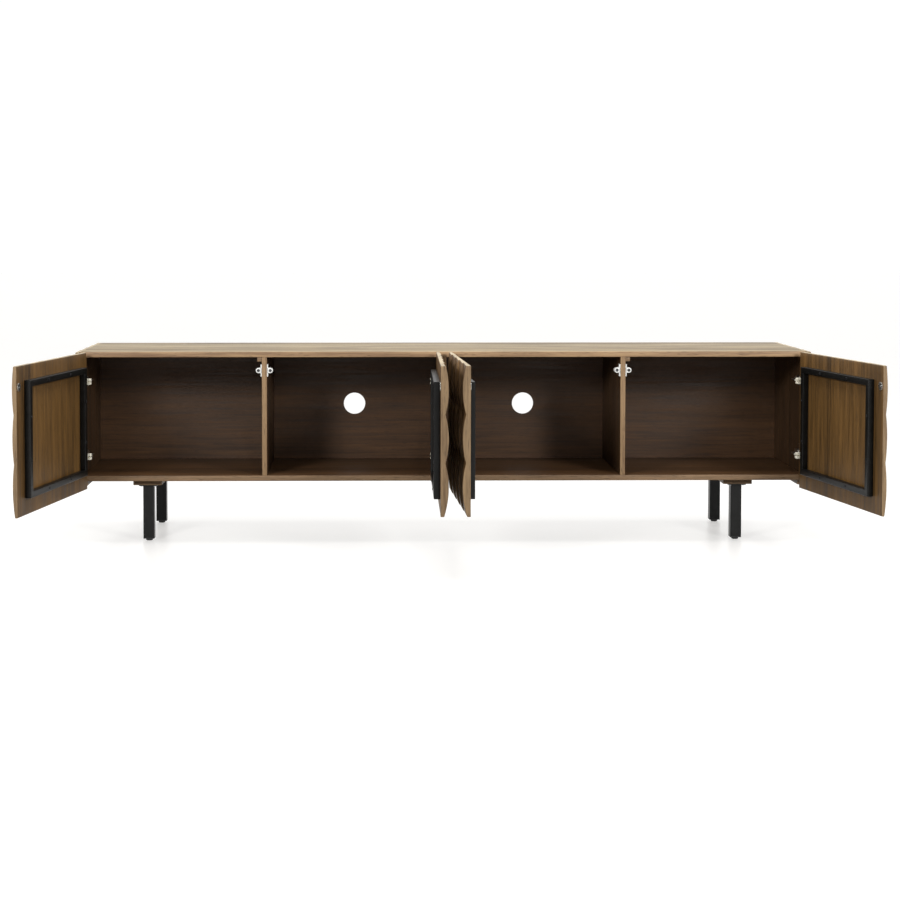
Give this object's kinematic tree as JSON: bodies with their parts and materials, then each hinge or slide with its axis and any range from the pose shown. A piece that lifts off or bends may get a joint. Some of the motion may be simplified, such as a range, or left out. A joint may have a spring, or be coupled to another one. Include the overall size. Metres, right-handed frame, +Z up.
{
  "type": "media cabinet",
  "caption": "Low television cabinet on square steel legs, with carved hinged doors, divided compartments, magnetic catches and cable holes in the back.",
  "frame": {"origin": "on the floor, under the middle of the cabinet's length and of the depth of the whole box with the doors standing open as stored", "axes": "+X to the right along the cabinet's length, +Y to its back, +Z up"},
  "size_m": [2.1132, 0.8948, 0.52],
  "materials": {
    "carcass_wood": "stained and matt lacquered hardwood",
    "top_wood": "greyish washed hardwood, matt lacquer",
    "carved_wood": "carved hardwood, brown stain and matt lacquer",
    "rear_panel": "dark stained plywood",
    "black_steel": "fine black powder coat",
    "black_screw": "black coated steel screws",
    "bright_steel": "nickel plated steel",
    "zinc_screw": "zinc plated steel screws",
    "cream_plastic": "cream moulded nylon",
    "black_plastic": "black moulded polyethylene",
    "white_plastic": "white moulded plastic",
    "magnet": "dark ferrite magnet"
  },
  "bodies": {
    "cabinet": {"back_left_leg": "black_steel", "back_panel": "rear_panel", "back_right_leg": "black_steel", "back_screws": "zinc_screw", "bottom_board": "carcass_wood", "catch_housings": "white_plastic", "catch_magnets": "magnet", "catch_screws": "zinc_screw", "centre_divider": "carcass_wood", "door_1_hinge_arms": "bright_steel", "door_2_hinge_arms": "bright_steel", "door_3_hinge_arms": "bright_steel", "door_4_hinge_arms": "bright_steel", "front_left_leg": "black_steel", "front_right_leg": "black_steel", "hinge_arm_screws": "zinc_screw", "left_batten": "carcass_wood", "left_cleat": "carcass_wood", "left_divider": "carcass_wood", "left_side_panel": "carved_wood", "leg_glides": "black_plastic", "leg_screws": "black_screw", "right_batten": "carcass_wood", "right_cleat": "carcass_wood", "right_divider": "carcass_wood", "right_side_panel": "carved_wood", "stop_blocks": "carcass_wood", "top_board": "top_wood"},
    "door_1": {"door_1_frame_screws": "black_screw", "door_1_hinge_covers": "cream_plastic", "door_1_hinge_cups": "bright_steel", "door_1_panel": "carved_wood", "door_1_steel_frame": "black_steel", "door_1_strike": "bright_steel", "door_1_wood_screws": "zinc_screw"},
    "door_2": {"door_2_frame_screws": "black_screw", "door_2_hinge_covers": "cream_plastic", "door_2_hinge_cups": "bright_steel", "door_2_panel": "carved_wood", "door_2_steel_frame": "black_steel", "door_2_strike": "bright_steel", "door_2_wood_screws": "zinc_screw"},
    "door_3": {"door_3_frame_screws": "black_screw", "door_3_hinge_covers": "cream_plastic", "door_3_hinge_cups": "bright_steel", "door_3_panel": "carved_wood", "door_3_steel_frame": "black_steel", "door_3_strike": "bright_steel", "door_3_wood_screws": "zinc_screw"},
    "door_4": {"door_4_frame_screws": "black_screw", "door_4_hinge_covers": "cream_plastic", "door_4_hinge_cups": "bright_steel", "door_4_panel": "carved_wood", "door_4_steel_frame": "black_steel", "door_4_strike": "bright_steel", "door_4_wood_screws": "zinc_screw"}
  },
  "joints": [
    {"name": "door_1_hinge", "type": "hinge", "parent": "cabinet", "child": "door_1", "pos_m": [-0.977, 0.04037, 0.3425], "axis": [0, 0, -1], "range_deg": [-100.7, 9.3]},
    {"name": "door_2_hinge", "type": "hinge", "parent": "cabinet", "child": "door_2", "pos_m": [-0.0015, 0.04037, 0.3425], "axis": [0, 0, 1], "range_deg": [-89.1, 0.9]},
    {"name": "door_3_hinge", "type": "hinge", "parent": "cabinet", "child": "door_3", "pos_m": [0.0015, 0.04037, 0.3425], "axis": [0, 0, -1], "range_deg": [-87.3, 2.7]},
    {"name": "door_4_hinge", "type": "hinge", "parent": "cabinet", "child": "door_4", "pos_m": [0.977, 0.04037, 0.3425], "axis": [0, 0, 1], "range_deg": [-99.8, 10.2]}
  ]
}
